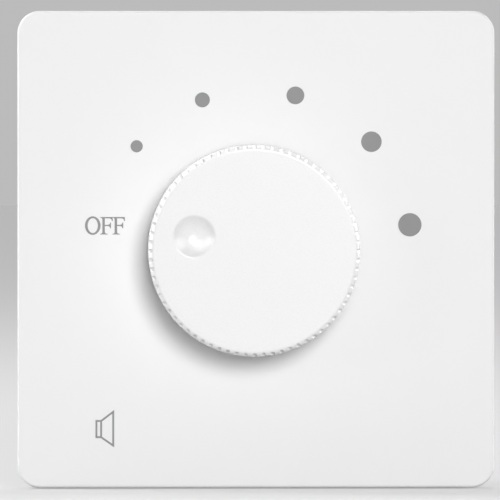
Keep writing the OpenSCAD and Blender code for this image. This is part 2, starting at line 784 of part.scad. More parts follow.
module common_contact() color("gold") upright() on_axis() {
    difference() {
        bar(ring_d / 2 + ring_w / 2, body_back_z, tap_top_z);
        bar(ring_d / 2 - ring_w / 2, body_back_z - over, tap_top_z + over);
    }
    at_common() bar(tap_pin_d / 2, tail_back_z, body_back_z + tap_head_h / 2);
}

// Places a child at each transformer pin
module at_trafo_pins()
    for (row = [-1, 1], i = [0:trafo_row - 1])
        translate([(i - (trafo_row - 1) / 2) * trafo_pitch, trafo_y + row * rail_mid, 0]) children();

// Places a child at each terminal
module at_ways()
    for (i = [0:way_count - 1]) translate([(i - (way_count - 1) / 2) * way_pitch, 0, 0]) children();

// Places a child at each terminal pin
module at_way_pins() at_ways() translate([0, cage_y + cage_len / 2, 0]) children();

module circuit_board() color("darkgreen") upright() {
    low = board_back_z - over;
    high = board_front_z + over;
    difference() {
        block(board_w, board_h, board_back_z, board_front_z);
        on_axis() at_taps() bar(tap_pin_d / 2 + hole_fit, low, high);
        on_axis() at_common() bar(tap_pin_d / 2 + hole_fit, low, high);
        at_trafo_pins() bar(trafo_pin_d / 2 + hole_fit, low, high);
        at_way_pins() bar(way_pin_d / 2 + hole_fit, low, high);
        corners(post_x, post_y) bar(screw_d / 2 + hole_fit, low, high);
        for (x = [-tab_x, tab_x]) translate([x, trafo_y, 0])
            block(clamp_t + 2 * hole_fit, tab_w + 2 * hole_fit, low, high);
    }
}

module board_screws() color("silver") upright() corners(post_x, post_y) difference() {
    head_z = board_back_z - screw_head_h;
    union() {
        bar(screw_d / 2, board_back_z - join, board_back_z + screw_len);
        bar(screw_head_d / 2, head_z, board_back_z);
    }
    for (turn = [0, 90]) rotate(turn)
        block(0.6 * screw_head_d, 0.15 * screw_head_d, head_z - over, head_z + 0.5 * screw_head_h);
}

module transformer_core() color("slategray") upright() translate([0, trafo_y, 0]) difference() {
    block(core_w, core_stack, core_back_z, core_front_z);
    for (x = [-1, 1]) translate([x * (core_leg + window_w / 2), 0, 0])
        block(window_w, core_stack + 2 * over, window_back_z, window_front_z);
}

module transformer_bobbin() color("black") upright() translate([0, trafo_y, 0]) {
    low = window_back_z + leg_gap;
    high = window_front_z - leg_gap;
    difference() {
        union() {
            block(tube_w + 2 * bobbin_t, tube_h + 2 * bobbin_t, low, high);
            block(2 * flange_x, 2 * flange_y, low, low + flange_t);
            block(2 * flange_x, 2 * flange_y, high - flange_t, high);
            for (side = [0, 180]) rotate(side) translate([-flange_x, rail_in, high - flange_t])
                cube([2 * flange_x, flange_y - rail_in, board_back_z - high + flange_t]);
        }
        block(tube_w, tube_h, low - over, high + over);
        translate([0, -trafo_y, 0]) at_trafo_pins()
            bar(trafo_pin_d / 2 + push_fit, board_back_z - trafo_pin_set, board_back_z + over);
    }
}

module transformer_winding() color("gold") upright() translate([0, trafo_y, 0]) {
    low = window_back_z + leg_gap + flange_t;
    high = window_front_z - leg_gap - flange_t;
    difference() {
        between(low, high)
            rounded_rect(2 * (flange_x - winding_inset), 2 * (flange_y - winding_inset), winding_r);
        block(tube_w + 2 * bobbin_t, tube_h + 2 * bobbin_t, low - over, high + over);
    }
}

module transformer_clamp() color("silver") upright() translate([0, trafo_y, 0]) {
    side_x = core_w / 2 + leg_gap;
    outer_w = 2 * (side_x + clamp_t);
    difference() {
        block(outer_w, clamp_w, core_back_z - clamp_t, board_back_z);
        block(2 * side_x, clamp_w + 2 * over, core_back_z, board_back_z + over);
    }
    for (x = [-tab_x, tab_x]) translate([x, 0, 0]) block(clamp_t, tab_w, board_back_z - join, tail_front_z);
}

module transformer_pins() color("silver") upright() at_trafo_pins()
    bar(trafo_pin_d / 2, board_back_z - trafo_pin_set, tail_front_z);

// Side outline of the terminal block, bevelled along its rear edges
module block_outline() polygon([
    [mouth_y, board_back_z], [mouth_y, block_back_z + block_bevel], [mouth_y + block_bevel, block_back_z],
    [mouth_y + block_d - block_bevel, block_back_z], [mouth_y + block_d, block_back_z + block_bevel],
    [mouth_y + block_d, board_back_z]]);

module terminal_block() color("seagreen") upright() difference() {
    rotate([90, 0, 90]) linear_extrude(block_w, center = true) block_outline();
    for (i = [1:way_count - 1]) translate([(i - way_count / 2) * way_pitch, mouth_y, 0])
        rotate(45) block(way_groove, way_groove, block_back_z - over, board_back_z + over);
    at_ways() {
        translate([-cage_w / 2 - push_fit, cage_y - push_fit, cage_back_z - push_fit])
            cube([cage_w + 2 * push_fit, cage_len + 2 * push_fit, board_back_z - cage_back_z + over]);
        translate([0, mouth_y - over, wire_axis_z]) rotate([-90, 0, 0])
            cylinder(r = wire_d / 2, h = block_wall + over + join / 2);
        translate([0, cage_y + cage_len / 2, 0])
            bar(set_head_d / 2 + 3 * push_fit, block_back_z - over, cage_back_z);
    }
}

module terminal_clamps() color("goldenrod") upright() at_ways() difference() {
    translate([-cage_w / 2, cage_y, cage_back_z]) cube([cage_w, cage_len, cage_h]);
    translate([0, cage_y - over, wire_axis_z]) rotate([-90, 0, 0])
        cylinder(r = wire_d / 2, h = cage_len + 2 * over);
    translate([0, cage_y + cage_len / 2, 0]) bar(set_d / 2 + push_fit, cage_back_z - over, wire_axis_z);
}

module terminal_screws() color("silver") upright() at_way_pins() difference() {
    head_z = set_head_z - set_head_h;
    union() {
        bar(set_d / 2, set_head_z - join, set_tip_z);
        bar(set_head_d / 2, head_z, set_head_z);
    }
    block(0.18 * set_head_d, set_head_d + over, head_z - over, head_z + 0.5 * set_head_h);
}

module terminal_pins() color("silver") upright() at_way_pins()
    bar(way_pin_d / 2, cage_front_z, tail_front_z);

front_plate();
scale_dots();
knob();
knob_clip();
mounting_frame();
lock_washer();
bushing_nut();
switch_bushing();
switch_housing();
switch_base();
switch_rivets();
switch_shaft();
shaft_clip();
detent_wheel();
detent_spring();
rotor();
wiper();
contact_pins();
common_contact();
circuit_board();
board_screws();
transformer_core();
transformer_bobbin();
transformer_winding();
transformer_clamp();
transformer_pins();
terminal_block();
terminal_clamps();
terminal_screws();
terminal_pins();
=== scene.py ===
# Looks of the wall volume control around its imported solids: finishes for every piece, the printed
# marks, solder and tracks on the board, a taped winding, soft studio light and the photo's camera.
import json
import math

import bmesh
import bpy
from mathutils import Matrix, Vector


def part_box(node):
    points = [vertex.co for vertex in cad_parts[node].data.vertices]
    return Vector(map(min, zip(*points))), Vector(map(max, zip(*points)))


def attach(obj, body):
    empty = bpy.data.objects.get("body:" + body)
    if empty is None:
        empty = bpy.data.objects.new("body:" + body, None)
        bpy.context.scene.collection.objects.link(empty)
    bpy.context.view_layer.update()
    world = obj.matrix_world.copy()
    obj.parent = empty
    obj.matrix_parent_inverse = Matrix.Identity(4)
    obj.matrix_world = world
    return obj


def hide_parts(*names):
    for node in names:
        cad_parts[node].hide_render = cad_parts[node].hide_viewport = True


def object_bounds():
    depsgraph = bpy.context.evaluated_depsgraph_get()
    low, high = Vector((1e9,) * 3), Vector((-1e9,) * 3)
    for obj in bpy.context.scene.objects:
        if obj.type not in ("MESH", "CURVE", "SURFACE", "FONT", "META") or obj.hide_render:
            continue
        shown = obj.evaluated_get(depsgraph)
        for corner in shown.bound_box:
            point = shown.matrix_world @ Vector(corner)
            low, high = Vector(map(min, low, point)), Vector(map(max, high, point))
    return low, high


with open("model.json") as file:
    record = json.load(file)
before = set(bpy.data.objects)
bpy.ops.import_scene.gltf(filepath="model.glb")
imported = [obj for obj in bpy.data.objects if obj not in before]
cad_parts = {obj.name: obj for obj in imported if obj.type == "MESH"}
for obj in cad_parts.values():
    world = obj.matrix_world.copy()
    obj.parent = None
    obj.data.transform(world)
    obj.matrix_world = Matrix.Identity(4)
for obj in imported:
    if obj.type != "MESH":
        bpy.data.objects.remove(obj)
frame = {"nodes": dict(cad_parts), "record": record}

cad_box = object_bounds()
scene = bpy.context.scene
MM = 0.001

# Camera: straight at the cover, from slightly above and to the left. Its distance is in metres, the point
# that it looks at in millimetres.
IMAGE_PX = 500
PX_PER_MM = 5.546
VIEW_DISTANCE = 2.0
VIEW_LEFT_DEG = 1.0
VIEW_UP_DEG = 1.2
AIM_X = -1.08
AIM_UP = -0.09
SENSOR = 36.0

# Light: a key from the upper right, lamps round the rim, two rear lamps, a wide panel at the upper left
# and one at each side that show only as reflections, and an even surround.
# Places and sizes are in metres. Each rim lamp has a direction round the cover and a lift out of the plane
# of the wall, in degrees, and a power.
KEY = dict(at=(0.350, -2.425, 0.500), size=0.80, power=37.8)
RIM_LAMPS = {
    "right": (8, -18, 6),
    "top": (88, -18, 4.4),
    "upper_left": (135, -14, 5),
    "left": (172, -12, 6.2),
    "fill": (170, 40, 0.6),
}
RIM_LAMP_DISTANCE = 1.2
RIM_LAMP_SIZE = 0.36
REAR_LEFT = dict(at=(-0.6, 0.8, 0.5), size=0.6, power=0.8)
REAR_RIGHT = dict(at=(0.7, 0.6, 0.2), size=0.6, power=0.6)
PANEL = dict(at=(-0.62, -0.80, 0.66), size=2.0, power=18)
PANEL_HEIGHT = 1.1
SIDE_PANELS = {
    "right": dict(at=(0.75, -0.32, 0.35), size=0.7, power=4.5),
    "left": dict(at=(-0.85, -0.30, 0.05), size=0.7, power=4.5),
}
SURROUND = 0.12
BACKDROP = 0.5
FLOOR_COLOUR = 0.32
FLOOR_FINISH = dict(rough=0.8, spread=0.05, grain=1.0, relief=0.01, vary=0.01)
FLOOR_LIFT = 0.38
FLOOR_HALF = 3.0
FLOOR_SEGMENTS = 8
FLOOR_DROP = 0.0002

# Printed marks, in millimetres from the middle of the cover: right, up
INK_SINK = 0.03
INK_RISE = 0.06
LETTER_O_X = -29.43
LETTER_O_UP = 4.32
LETTER_O_RADII = ((1.40, 1.67), (0.92, 1.34))
LETTER_O_SIDES = 56
LETTER_F_STEMS = (-27.47, -25.26)
LETTER_BASE = 2.72
SIGN_BACK_X = -28.78
SIGN_NECK_X = -27.93
SIGN_MOUTH_X = -25.75
SIGN_BACK_UP = (-33.84, -30.92)
SIGN_MOUTH_UP = (-35.36, -29.26)
SIGN_LINE = 0.34

# Letter F, from the middle of its stem and its foot: half the stem, the height of the top and of the bar,
# and the serifs. A bracket joins a serif to the stem: how far each point lies beyond the stem, and from
# the foot or the top. Points of the bar have half its height there, and those of the arm the drop from
# the top.
F_STEM = 0.225
F_TOP = 3.15
F_MID = 1.63
F_SERIF_LEFT = 0.62
F_SERIF_RIGHT = 0.75
F_SERIF_T = 0.10
F_FOOT_BRACKET = ((0.25, 0.14), (0.06, 0.24), (0, 0.45))
F_TOP_BRACKET = ((0.25, 0.13), (0.06, 0.24), (0, 0.45))
F_BAR = ((F_STEM, 0.11), (0.80, 0.11), (1.06, 0.22), (1.18, 0.52), (1.32, 0.52))
F_ARM = ((F_STEM, 0.24), (1.05, 0.25), (1.28, 0.32), (1.42, 0.46), (1.50, 0.74), (1.66, 0.74), (1.60, 0))

# Solder: its flare has shares of the spread and heights; a collar closes it on the pin. Points of a pin
# that are closer than PIN_WELD are one, and those within PIN_TIP of its end give its place and radius.
SOLDER_SPREAD = 0.55
SOLDER_RISE = 0.6
SOLDER_FLARE = ((1, 0), (1, 0.06), (0.5, 0.14), (0.2, 0.32))
SOLDER_COLLAR = 0.03
SOLDER_BITE = 0.05
PIN_WELD = 0.0001
PIN_TIP = 0.01

# Tracks on the board: six from the taps to the coil, four to a star point, and the incoming line
TRACK_WIDTH = 0.9
TRACK_RISE = 0.05
TRACK_STEP = 0.004
TRACK_SINK = 0.02
TRACK_SIDE_X = 18.4
TRACK_UNDER_UP = -11.0
TRACK_OVER = 3.4
TRACK_CORNER = 3.4
TRACK_BEND = 2.0
STAR_UP = -15.0
LINE_X = -20.8
LINE_LOW = -21.5
LINE_TOP = 26.4
LINE_CORNER = 6.4
LINE_BEND = 1.5
TRACK_COLOUR = (0.035, 0.2, 0.075)
TRACK_FINISH = dict(rough=0.25, spread=0.05, grain=0.4, relief=0.003, vary=0.1)

# Taped winding: how far it is drawn in at the flanges and how flat it stays between them, the tape,
# the squareness of its turns, and the steps of its mesh
WINDING_CROWN = 0.45
WINDING_FLATNESS = 6
WINDING_SIDES = 144
WINDING_LEVELS = 14
TAPE_T = 0.12
TAPE_LAP_DEG = (62, 118)
TURN_SQUARENESS = 6.5
NEARLY_ZERO = 1e-6

# How each finish varies: roughness and its spread, size of the grain and its relief in millimetres,
# spread of the colour, whether it is a metal, and how far its grain is drawn out
FINISHES = {
    "plate_white": dict(rough=0.46, spread=0.05, grain=0.25, relief=0.0008, vary=0.006),
    "knob_white": dict(rough=0.28, spread=0.05, grain=0.22, relief=0.0006, vary=0.005),
    "ink_grey": dict(rough=0.65, spread=0.08, grain=0.12, relief=0.003, vary=0.05),
    "frame_plastic": dict(rough=0.5, spread=0.06, grain=0.3, relief=0.003, vary=0.02),
    "spring_steel": dict(rough=0.32, spread=0.1, grain=0.15, relief=0.002, vary=0.08, metal=1, brushed=12),
    "zinc_steel": dict(rough=0.36, spread=0.12, grain=0.6, relief=0.002, vary=0.12, metal=1),
    "shaft_steel": dict(rough=0.25, spread=0.08, grain=0.12, relief=0.002, vary=0.06, metal=1, brushed=10),
    "die_cast": dict(rough=0.5, spread=0.1, grain=0.35, relief=0.006, vary=0.08, metal=1),
    "switch_black": dict(rough=0.48, spread=0.06, grain=0.25, relief=0.003, vary=0.1),
    "phenolic": dict(rough=0.45, spread=0.08, grain=0.5, relief=0.003, vary=0.18, brushed=4),
    "acetal": dict(rough=0.35, spread=0.05, grain=0.3, relief=0.001, vary=0.02),
    "contact_brass": dict(rough=0.28, spread=0.1, grain=0.2, relief=0.002, vary=0.1, metal=1),
    "board_green": dict(rough=0.3, spread=0.06, grain=0.45, relief=0.004, vary=0.12),
    "core_iron": dict(rough=0.5, spread=0.12, grain=0.4, relief=0.006, vary=0.15, metal=1),
    "bobbin_black": dict(rough=0.5, spread=0.08, grain=0.2, relief=0.004, vary=0.15),
    "winding_tape": dict(rough=0.3, spread=0.08, grain=1.5, relief=0.02, vary=0.06),
    "tinned_pin": dict(rough=0.3, spread=0.1, grain=0.25, relief=0.004, vary=0.06, metal=1),
    "terminal_green": dict(rough=0.45, spread=0.06, grain=0.25, relief=0.004, vary=0.06),
    "terminal_brass": dict(rough=0.3, spread=0.1, grain=0.25, relief=0.003, vary=0.1, metal=1),
}
FINE_DETAIL = 3
BROAD_GRAIN = 9.0
BROAD_DETAIL = 4

# Ridges on laminations, glass weave and turns of wire: the axis they cross, their pitch and depth in
# millimetres, and the shade of the low places. A wave texture of scale 1 repeats after WAVE_PERIOD.
RIDGES = {
    "core_iron": dict(direction="Z", pitch=0.625, depth=0.06, dark=0.6),
    "board_green": dict(direction="X", pitch=0.5, depth=0.004, dark=0.9),
    "winding_tape": dict(direction="Y", pitch=0.4, depth=0.025, dark=0.9),
}
WAVE_PERIOD = math.pi / 10

# Rounding of moulded, folded and punched edges, in millimetres
EDGE_ROUNDING = {
    "mounting_frame": 0.25,
    "terminal_block": 0.25,
    "transformer_clamp": 0.3,
    "transformer_bobbin": 0.15,
    "transformer_core": 0.08,
    "circuit_board": 0.08,
    "board_screws": 0.12,
}
EDGE_ANGLE = 40
EDGE_SEGMENTS = 2
EDGE_WELD = 0.001


def place(x, up, out):
    """A point in millimetres as seen from the room: right, up, and out of the wall."""
    return Vector((x, -out, up)) * MM


def add_object(name, data):
    """A new object in the scene."""
    obj = bpy.data.objects.new(name, data)
    scene.collection.objects.link(obj)
    return obj


def turn_to(obj, direction):
    """Turns a lamp or a camera so that it looks along a direction."""
    obj.rotation_mode = "QUATERNION"
    obj.rotation_quaternion = direction.to_track_quat("-Z", "Y")


def grey(level):
    """An opaque grey."""
    return (level, level, level, 1)


# Materials

def link(mat, source, target):
    mat.node_tree.links.new(source, target)


def add_node(mat, kind, **inputs):
    """Adds a node and sets its inputs by name."""
    node = mat.node_tree.nodes.new(kind)
    for name, value in inputs.items():
        node.inputs[name.replace("_", " ")].default_value = value
    return node


def tinted(colour, factor):
    """A colour made lighter or darker, and opaque."""
    return [min(c * factor, 1.0) for c in colour] + [1.0]


def mix_colours(mat, factor, low, high):
    """A colour between two others, by a factor."""
    mix = mat.node_tree.nodes.new("ShaderNodeMix")
    mix.data_type = "RGBA"
    mix.inputs["A"].default_value = low
    mix.inputs["B"].default_value = high
    link(mat, factor, mix.inputs["Factor"])
    return mix


def noise(mat, coords, size, detail):
    """Noise whose features are about this many millimetres."""
    node = add_node(mat, "ShaderNodeTexNoise", Scale=1 / (size * MM), Detail=detail)
    link(mat, coords, node.inputs["Vector"])
    return node.outputs["Fac"]


def make_material(slot, colour, rough, spread, grain, relief, vary, metal=0, brushed=1):
    """A finish with a broad drift of colour, a roughness that varies, and a fine relief."""
    mat = bpy.data.materials.new(slot)
    mat.use_nodes = True
    shader = mat.node_tree.nodes["Principled BSDF"]
    shader.inputs["Metallic"].default_value = metal
    coords = add_node(mat, "ShaderNodeTexCoord").outputs["Object"]
    stretch = add_node(mat, "ShaderNodeMapping", Scale=(1, 1 / brushed, 1))
    link(mat, coords, stretch.inputs["Vector"])

    fine = noise(mat, stretch.outputs["Vector"], grain, FINE_DETAIL)
    broad = noise(mat, coords, BROAD_GRAIN, BROAD_DETAIL)
    mix = mix_colours(mat, broad, tinted(colour, 1 - vary), tinted(colour, 1 + vary))
    link(mat, mix.outputs["Result"], shader.inputs["Base Color"])

    level = add_node(mat, "ShaderNodeMapRange", To_Min=rough - spread, To_Max=rough + spread)
    link(mat, fine, level.inputs["Value"])
    link(mat, level.outputs["Result"], shader.inputs["Roughness"])

    bump = add_node(mat, "ShaderNodeBump", Strength=1.0, Distance=relief * MM)
    link(mat, fine, bump.inputs["Height"])
    link(mat, bump.outputs["Normal"], shader.inputs["Normal"])
    return mat


def add_ridges(mat, direction, pitch, depth, dark):
    """Adds even ridges across an axis of the object, whose low places are also darker."""
    coords = add_node(mat, "ShaderNodeTexCoord").outputs["Object"]
    wave = add_node(mat, "ShaderNodeTexWave", Scale=WAVE_PERIOD / (pitch * MM))
    wave.bands_direction = direction
    link(mat, coords, wave.inputs["Vector"])
    height = wave.outputs["Fac"]

    shader = mat.node_tree.nodes["Principled BSDF"]
    colour_from = shader.inputs["Base Color"].links[0].from_socket
    normal_from = shader.inputs["Normal"].links[0].from_socket
    shade = mix_colours(mat, height, grey(dark), grey(1))
    blend = mat.node_tree.nodes.new("ShaderNodeMix")
    blend.data_type = "RGBA"
    blend.blend_type = "MULTIPLY"
    blend.inputs["Factor"].default_value = 1.0
    link(mat, colour_from, blend.inputs["A"])
    link(mat, shade.outputs["Result"], blend.inputs["B"])
    link(mat, blend.outputs["Result"], shader.inputs["Base Color"])
    bump = add_node(mat, "ShaderNodeBump", Strength=1.0, Distance=depth * MM)
    link(mat, height, bump.inputs["Height"])
    link(mat, normal_from, bump.inputs["Normal"])
    link(mat, bump.outputs["Normal"], shader.inputs["Normal"])


record = frame["record"]
colours = {m["slot"]: m["base_color"] for m in record["materials"]}
materials = {slot: make_material(slot, colours[slot], **look) for slot, look in FINISHES.items()}
materials["board_track"] = make_material("board_track", TRACK_COLOUR, **TRACK_FINISH)
for slot, ridges in RIDGES.items():
    add_ridges(materials[slot], **ridges)

for part in record["subparts"]:
    mesh = frame["nodes"][part["node"]].data
    mesh.materials.clear()
    mesh.materials.append(materials[part["material_slot"]])

for node, width in EDGE_ROUNDING.items():
    modifiers = frame["nodes"][node].modifiers
    weld = modifiers.new("weld", "WELD")
    weld.merge_threshold = EDGE_WELD * MM
    rounding = modifiers.new("rounding", "BEVEL")
    rounding.width = width * MM
    rounding.segments = EDGE_SEGMENTS
    rounding.limit_method = "ANGLE"
    rounding.angle_limit = math.radians(EDGE_ANGLE)


# Shapes

def finish_piece(name, bm, slot, body="wall_unit"):
    """Turns a bmesh into a piece that rides on a body."""
    bmesh.ops.recalc_face_normals(bm, faces=bm.faces)
    mesh = bpy.data.meshes.new(name)
    bm.to_mesh(mesh)
    bm.free()
    mesh.materials.append(materials[slot])
    obj = add_object(name, mesh)
    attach(obj, body)
    return obj


def add_plate(bm, loops, low, high):
    """Adds a flat plate between two levels; the first loop is its outline, the others are holes."""
    edges = []
    for loop in loops:
        verts = [bm.verts.new(place(x, up, low)) for x, up in loop]
        edges += [bm.edges.new(pair) for pair in zip(verts, verts[1:] + verts[:1])]
    filled = bmesh.ops.triangle_fill(bm, use_beauty=True, edges=edges)
    faces = [f for f in filled["geom"] if isinstance(f, bmesh.types.BMFace)]
    raised = bmesh.ops.extrude_face_region(bm, geom=faces, use_keep_orig=True)
    verts = [v for v in raised["geom"] if isinstance(v, bmesh.types.BMVert)]
    bmesh.ops.translate(bm, verts=verts, vec=place(0, 0, high - low))


def ellipse(x, up, radii, count):
    """Points of an ellipse round a point."""
    angles = [2 * math.pi * i / count for i in range(count)]
    return [(x + radii[0] * math.cos(a), up + radii[1] * math.sin(a)) for a in angles]


def join_rings(bm, rings):
    """Closes a tube through rings of points, from the last ring back to the first."""
    for ring, beyond in zip(rings, rings[1:] + rings[:1]):
        for i in range(len(ring)):
            j = (i + 1) % len(ring)
            bm.faces.new((ring[i], ring[j], beyond[j], beyond[i]))


def add_lathe(bm, x, up, out, towards, profile, count=20):
    """Adds a ring turned from a closed profile of radius and height, about an axis square to the wall."""
    rings = []
    for radius, height in profile:
        circle = ellipse(x, up, (radius, radius), count)
        rings.append([bm.verts.new(place(*point, out + towards * height)) for point in circle])
    join_rings(bm, rings)


def side_normal(a, b):
    """The unit vector to the right of a line."""
    along = (Vector(b) - Vector(a)).normalized()
    return Vector((along.y, -along.x))


def corner_shift(normal_in, normal_out, distance):
    """How far a corner moves when both of its sides move outwards by a distance."""
    middle = (normal_in + normal_out).normalized()
    return middle * distance / middle.dot(normal_in)


def offset(loop, distance):
    """A closed anticlockwise outline, moved outwards with sharp corners."""
    moved = []
    for before, here, after in zip(loop[-1:] + loop[:-1], loop, loop[1:] + loop[:1]):
        shift = corner_shift(side_normal(before, here), side_normal(here, after), distance)
        moved.append(tuple(Vector(here) + shift))
    return moved


def ribbon(path, width):
    """Outline of a strip along an open path."""
    normals = [side_normal(a, b) for a, b in zip(path, path[1:])]
    shifts = [
        corner_shift(n_in, n_out, width / 2)
        for n_in, n_out in zip(normals[:1] + normals, normals + normals[-1:])
    ]
    right = [tuple(Vector(p) + s) for p, s in zip(path, shifts)]
    left = [tuple(Vector(p) - s) for p, s in zip(path, shifts)]
    return right + left[::-1]


# Printed marks

def letter_f(x, base):
    """A serif letter F round the middle of its stem."""
    top_bracket = [(-F_STEM - beyond, F_TOP - drop) for beyond, drop in F_TOP_BRACKET]
    foot_left = [(-F_STEM - beyond, up) for beyond, up in reversed(F_FOOT_BRACKET)]
    foot_right = [(F_STEM + beyond, up) for beyond, up in F_FOOT_BRACKET]
    bar_under = [(right, F_MID - half) for right, half in F_BAR]
    bar_over = [(right, F_MID + half) for right, half in reversed(F_BAR)]
    arm = [(right, F_TOP - drop) for right, drop in F_ARM]
    top_serif = [(-F_SERIF_LEFT, F_TOP), (-F_SERIF_LEFT, F_TOP - F_SERIF_T)]
    foot_serif = [(-F_SERIF_LEFT, F_SERIF_T), (-F_SERIF_LEFT, 0),
                  (F_SERIF_RIGHT, 0), (F_SERIF_RIGHT, F_SERIF_T)]
    outline = top_serif + top_bracket + foot_left + foot_serif + foot_right + bar_under + bar_over + arm
    return [(x + dx, base + up) for dx, up in outline]


face_out = -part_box("front_plate")[0].y / MM
ink_low = face_out - INK_SINK
ink_high = face_out + INK_RISE

bm = bmesh.new()
letter_o = [ellipse(LETTER_O_X, LETTER_O_UP, radii, LETTER_O_SIDES) for radii in LETTER_O_RADII]
add_plate(bm, letter_o, ink_low, ink_high)
for stem_x in LETTER_F_STEMS:
    add_plate(bm, [letter_f(stem_x, LETTER_BASE)], ink_low, ink_high)
finish_piece("off_lettering", bm, "ink_grey")

back = [(SIGN_BACK_X, SIGN_BACK_UP[0]), (SIGN_NECK_X, SIGN_BACK_UP[0]),
        (SIGN_NECK_X, SIGN_BACK_UP[1]), (SIGN_BACK_X, SIGN_BACK_UP[1])]
cone = [(SIGN_NECK_X, SIGN_BACK_UP[0]), (SIGN_MOUTH_X, SIGN_MOUTH_UP[0]),
        (SIGN_MOUTH_X, SIGN_MOUTH_UP[1]), (SIGN_NECK_X, SIGN_BACK_UP[1])]
whole = [back[0], cone[0], cone[1], cone[2], cone[3], back[3]]
bm = bmesh.new()
add_plate(bm, [offset(whole, SIGN_LINE / 2), offset(back, -SIGN_LINE / 2), offset(cone, -SIGN_LINE / 2)],
          ink_low, ink_high)
finish_piece("loudspeaker_sign", bm, "ink_grey")


# Solder and tracks on the board

def pin_ends(node, rear):
    """Place and radius of the end of each pin of a node, on the rear or the front side of the board."""
    bm = bmesh.new()
    bm.from_mesh(frame["nodes"][node].data)
    bmesh.ops.remove_doubles(bm, verts=bm.verts, dist=PIN_WELD * MM)
    sign = 1 if rear else -1
    left = set(bm.verts)
    ends = []
    while left:
        island = []
        todo = [left.pop()]
        while todo:
            vert = todo.pop()
            island.append(vert.co.copy())
            for edge in vert.link_edges:
                other = edge.other_vert(vert)
                if other in left:
                    left.remove(other)
                    todo.append(other)
        tip = max(sign * p.y for p in island)
        rim = [p for p in island if sign * p.y > tip - PIN_TIP * MM]
        xs = [p.x / MM for p in rim]
        ups = [p.z / MM for p in rim]
        ends.append(((min(xs) + max(xs)) / 2, (min(ups) + max(ups)) / 2, (max(xs) - min(xs)) / 2))
    bm.free()
    return sorted(ends)


def add_solder(bm, ends, out, towards):
    """Adds a hollow-sided cone of solder round each pin."""
    for x, up, radius in ends:
        flare = [(radius + share * SOLDER_SPREAD, height) for share, height in SOLDER_FLARE]
        inside = radius - SOLDER_BITE
        collar = [(radius + SOLDER_COLLAR, SOLDER_RISE), (inside, SOLDER_RISE), (inside, 0)]
        add_lathe(bm, x, up, out, towards, flare + collar)


board_low, board_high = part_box("circuit_board")
board_front = -board_low.y / MM
board_rear = -board_high.y / MM
taps = pin_ends("contact_pins", rear=True)
common = pin_ends("common_contact", rear=True)
coil_pins = pin_ends("transformer_pins", rear=False)
way_pins = pin_ends("terminal_pins", rear=False)

bm = bmesh.new()
add_solder(bm, taps + common, board_rear, -1)
finish_piece("solder_rear", bm, "tinned_pin")
bm = bmesh.new()
add_solder(bm, coil_pins + way_pins, board_front, 1)
finish_piece("solder_front", bm, "tinned_pin")


def dogleg(start, end):
    """A path that leaves straight up or down, crosses at 45 degrees and comes in straight."""
    across = abs(end[0] - start[0])
    rise = end[1] - start[1]
    straight = math.copysign((abs(rise) - across) / 2, rise)
    return [start, (start[0], start[1] + straight), (end[0], end[1] - straight), end]


def fork(start, end):
    """A path that leaves at 45 degrees and then runs straight up or down."""
    across = abs(end[0] - start[0])
    return [start, (end[0], start[1] + math.copysign(across, end[1] - start[1])), end]


def round_the_side(tap, coil_pin, side):
    """A path from a tap down, out to a side, up beside the transformer, over it and down to a coil pin."""
    edge = side * TRACK_SIDE_X
    near_edge = edge - side * TRACK_CORNER
    under = TRACK_UNDER_UP
    top = coil_pin[1] + TRACK_OVER
    return [tap, (tap[0], under + TRACK_BEND), (tap[0] + side * TRACK_BEND, under), (near_edge, under),
            (edge, under + TRACK_CORNER), (edge, top - TRACK_CORNER), (near_edge, top),
            (coil_pin[0] + side * TRACK_BEND, top), (coil_pin[0], top - TRACK_BEND), coil_pin]


def incoming_line(way, coil_pin):
    """A path from a terminal up along the edge of the board, over the transformer, to a coil pin."""
    return [way, (way[0], LINE_LOW), (LINE_X, LINE_LOW + way[0] - LINE_X), (LINE_X, LINE_TOP - LINE_CORNER),
            (LINE_X + LINE_CORNER, LINE_TOP), (coil_pin[0] - LINE_BEND, LINE_TOP),
            (coil_pin[0], LINE_TOP - LINE_BEND), coil_pin]


tap_at = [(x, up) for x, up, radius in taps]
coil_at = [(x, up) for x, up, radius in coil_pins]
way_at = [(x, up) for x, up, radius in way_pins]
ring_at = common[0][:2]
star_at = (ring_at[0], STAR_UP)
last_way = way_at[3]
tracks = [
    dogleg(tap_at[0], coil_at[0]),
    dogleg(tap_at[1], coil_at[2]),
    dogleg(tap_at[4], coil_at[4]),
    dogleg(tap_at[5], coil_at[6]),
    round_the_side(tap_at[2], coil_at[1], -1),
    round_the_side(tap_at[3], coil_at[7], 1),
    [ring_at, star_at],
    fork(star_at, way_at[1]),
    fork(star_at, way_at[2]),
    [last_way, (last_way[0], STAR_UP - TRACK_BEND), (last_way[0] - TRACK_BEND, STAR_UP), star_at],
    incoming_line(way_at[0], coil_at[3]),
]
for number, path in enumerate(tracks):
    bm = bmesh.new()
    add_plate(bm, [ribbon(path, TRACK_WIDTH)], board_rear + TRACK_SINK,
              board_rear - TRACK_RISE - number * TRACK_STEP)
    track = finish_piece(f"board_track_{number + 1}", bm, "board_green")
    track.data.materials[0] = materials["board_track"]


# Taped winding

def squarish(turn, half_x, half_up):
    """A point on a rounded rectangle whose sides bow out a little."""
    power = 2 / TURN_SQUARENESS
    across, rise = math.cos(turn), math.sin(turn)
    return (half_x * math.copysign(abs(across) ** power, across),
            half_up * math.copysign(abs(rise) ** power, rise))


def on_rectangle(x, up, half_x, half_up):
    """The point of a rectangle in the direction of another point."""
    scale = min(half_x / max(abs(x), NEARLY_ZERO), half_up / max(abs(up), NEARLY_ZERO))
    return x * scale, up * scale


